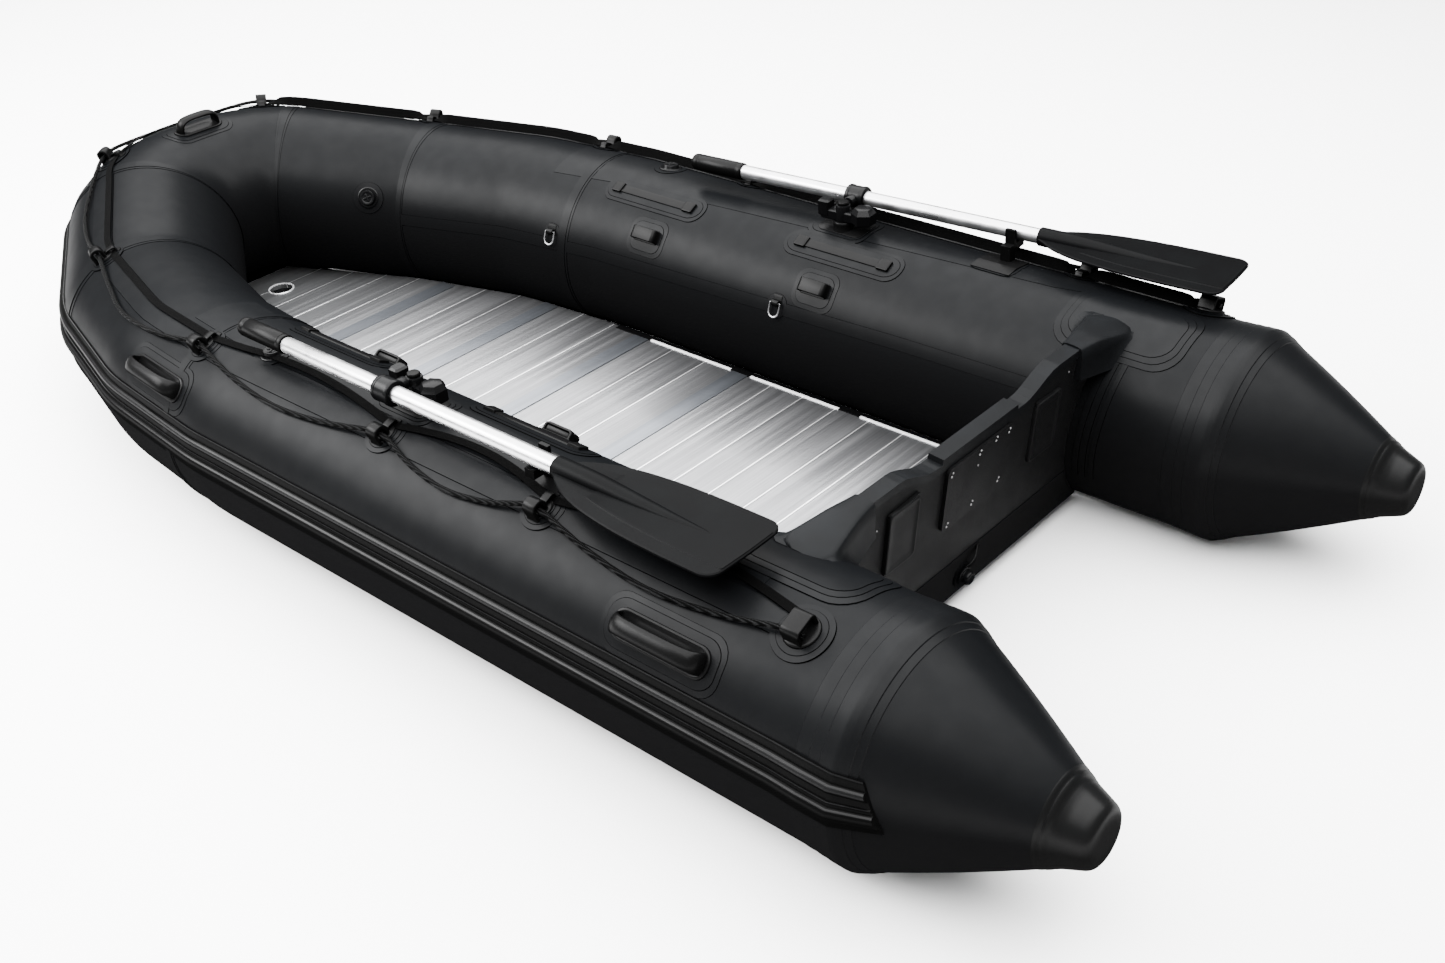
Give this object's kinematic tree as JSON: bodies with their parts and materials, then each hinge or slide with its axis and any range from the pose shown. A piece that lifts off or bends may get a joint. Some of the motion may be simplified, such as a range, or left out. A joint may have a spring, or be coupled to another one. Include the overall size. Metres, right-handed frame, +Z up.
{
  "type": "inflatable boat",
  "caption": "Inflatable dinghy with tapered stern tubes, slatted metal floor, transom, grab lines and two stowed oars.",
  "frame": {"origin": "on the ground under the middle of the boat's length and width", "axes": "+X aft towards the stern, +Y to starboard, +Z up"},
  "size_m": [3.4993, 1.6806, 0.5647],
  "materials": {
    "black_plastic": "satin moulded plastic",
    "black_rope": "braided cord",
    "black_rubber": "satin moulded rubber",
    "bright_steel": "polished",
    "brushed_aluminium": "ribbed mill finish",
    "charcoal_fabric": "satin coated fabric",
    "charcoal_trim": "satin coated fabric",
    "polished_aluminium": "bright drawn",
    "transom_board": "dark coated plywood",
    "transom_trim": "grey blue moulded edging"
  },
  "bodies": {
    "hull": {"bow_board": "brushed_aluminium", "bow_top_handle": "black_rubber", "bow_tube": "charcoal_fabric", "bow_valve": "black_plastic", "drain_valve": "black_rubber", "flat_strap": "charcoal_trim", "floor_board_1": "brushed_aluminium", "floor_board_2": "brushed_aluminium", "floor_board_3": "brushed_aluminium", "hull_bottom": "charcoal_fabric", "joint_profile_1": "polished_aluminium", "joint_profile_2": "polished_aluminium", "joint_profile_3": "polished_aluminium", "joint_profile_4": "polished_aluminium", "keel_tube": "charcoal_fabric", "keel_valve": "black_plastic", "lifeline": "black_rope", "motor_plate": "black_plastic", "port_bow_handle": "black_rubber", "port_cone_cap": "black_rubber", "port_inner_strip": "charcoal_trim", "port_oar_clip": "black_rubber", "port_rowlock_base": "black_rubber", "port_stern_cone": "charcoal_fabric", "port_stern_handle": "black_rubber", "port_stringer": "polished_aluminium", "port_transom_bracket": "transom_trim", "port_tube": "charcoal_fabric", "port_valve": "black_plastic", "rope_strip": "black_rubber", "rub_strake": "black_rubber", "starboard_bow_handle": "black_rubber", "starboard_cone_cap": "black_rubber", "starboard_inner_strip": "charcoal_trim", "starboard_oar_clip": "black_rubber", "starboard_rowlock_base": "black_rubber", "starboard_stern_cone": "charcoal_fabric", "starboard_stern_handle": "black_rubber", "starboard_stringer": "polished_aluminium", "starboard_transom_bracket": "transom_trim", "starboard_tube": "charcoal_fabric", "starboard_valve": "black_plastic", "stern_board": "brushed_aluminium", "transom_board": "transom_board", "transom_trim": "transom_trim"},
    "port_swivel": {"port_rowlock_swivel": "black_plastic"},
    "port_collar": {"port_oar_collar": "black_plastic"},
    "port_oar": {"port_oar_shaft": "polished_aluminium", "port_oar_grip": "black_rubber", "port_oar_blade": "black_plastic"},
    "starboard_swivel": {"starboard_rowlock_swivel": "black_plastic"},
    "starboard_collar": {"starboard_oar_collar": "black_plastic"},
    "starboard_oar": {"starboard_oar_shaft": "polished_aluminium", "starboard_oar_grip": "black_rubber", "starboard_oar_blade": "black_plastic"},
    "port_fore_d_ring": {"port_fore_ring": "bright_steel"},
    "port_aft_d_ring": {"port_aft_ring": "bright_steel"},
    "starboard_fore_d_ring": {"starboard_fore_ring": "bright_steel"},
    "starboard_aft_d_ring": {"starboard_aft_ring": "bright_steel"},
    "plug": {"drain_plug": "black_plastic"}
  },
  "joints": [
    {"name": "port_oar_yaw", "type": "hinge", "parent": "hull", "child": "port_swivel", "pos_m": [0.17, -0.585, 0.515], "axis": [0, 0, -1], "range_deg": [0, 100]},
    {"name": "port_oar_dip", "type": "hinge", "parent": "port_swivel", "child": "port_collar", "pos_m": [0.17, -0.65, 0.515], "axis": [0, -1, 0], "range_deg": [0, 2.5]},
    {"name": "port_oar_feather", "type": "hinge", "parent": "port_collar", "child": "port_oar", "pos_m": [0.17, -0.65, 0.515], "axis": [1, 0, 0], "range_deg": [-25, 25]},
    {"name": "port_fore_ring_swing", "type": "hinge", "parent": "hull", "child": "port_fore_d_ring", "pos_m": [-0.47015, -0.36933, 0.32052], "axis": [0.9959, -0.0908, 0], "range_deg": [0, 80]},
    {"name": "port_aft_ring_swing", "type": "hinge", "parent": "hull", "child": "port_aft_d_ring", "pos_m": [0.294, -0.38147, 0.32052], "axis": [1, 0, 0], "range_deg": [0, 80]},
    {"name": "starboard_oar_yaw", "type": "hinge", "parent": "hull", "child": "starboard_swivel", "pos_m": [0.35567, 0.57225, 0.515], "axis": [0, 0, 1], "range_deg": [0, 100]},
    {"name": "starboard_oar_dip", "type": "hinge", "parent": "starboard_swivel", "child": "starboard_collar", "pos_m": [0.35, 0.637, 0.515], "axis": [0.0872, -0.9962, 0], "range_deg": [0, 2.5]},
    {"name": "starboard_oar_feather", "type": "hinge", "parent": "starboard_collar", "child": "starboard_oar", "pos_m": [0.35, 0.637, 0.515], "axis": [0.9962, 0.0872, 0], "range_deg": [-25, 25]},
    {"name": "starboard_fore_ring_swing", "type": "hinge", "parent": "hull", "child": "starboard_fore_d_ring", "pos_m": [-0.47015, 0.36933, 0.32052], "axis": [-0.9959, -0.0908, 0], "range_deg": [0, 80]},
    {"name": "starboard_aft_ring_swing", "type": "hinge", "parent": "hull", "child": "starboard_aft_d_ring", "pos_m": [0.294, 0.38147, 0.32052], "axis": [-1, 0, 0], "range_deg": [0, 80]},
    {"name": "drain_plug_pull", "type": "slide", "parent": "hull", "child": "plug", "axis": [0.9945, 0, -0.1045], "range_m": [0, 0.04]}
  ]
}
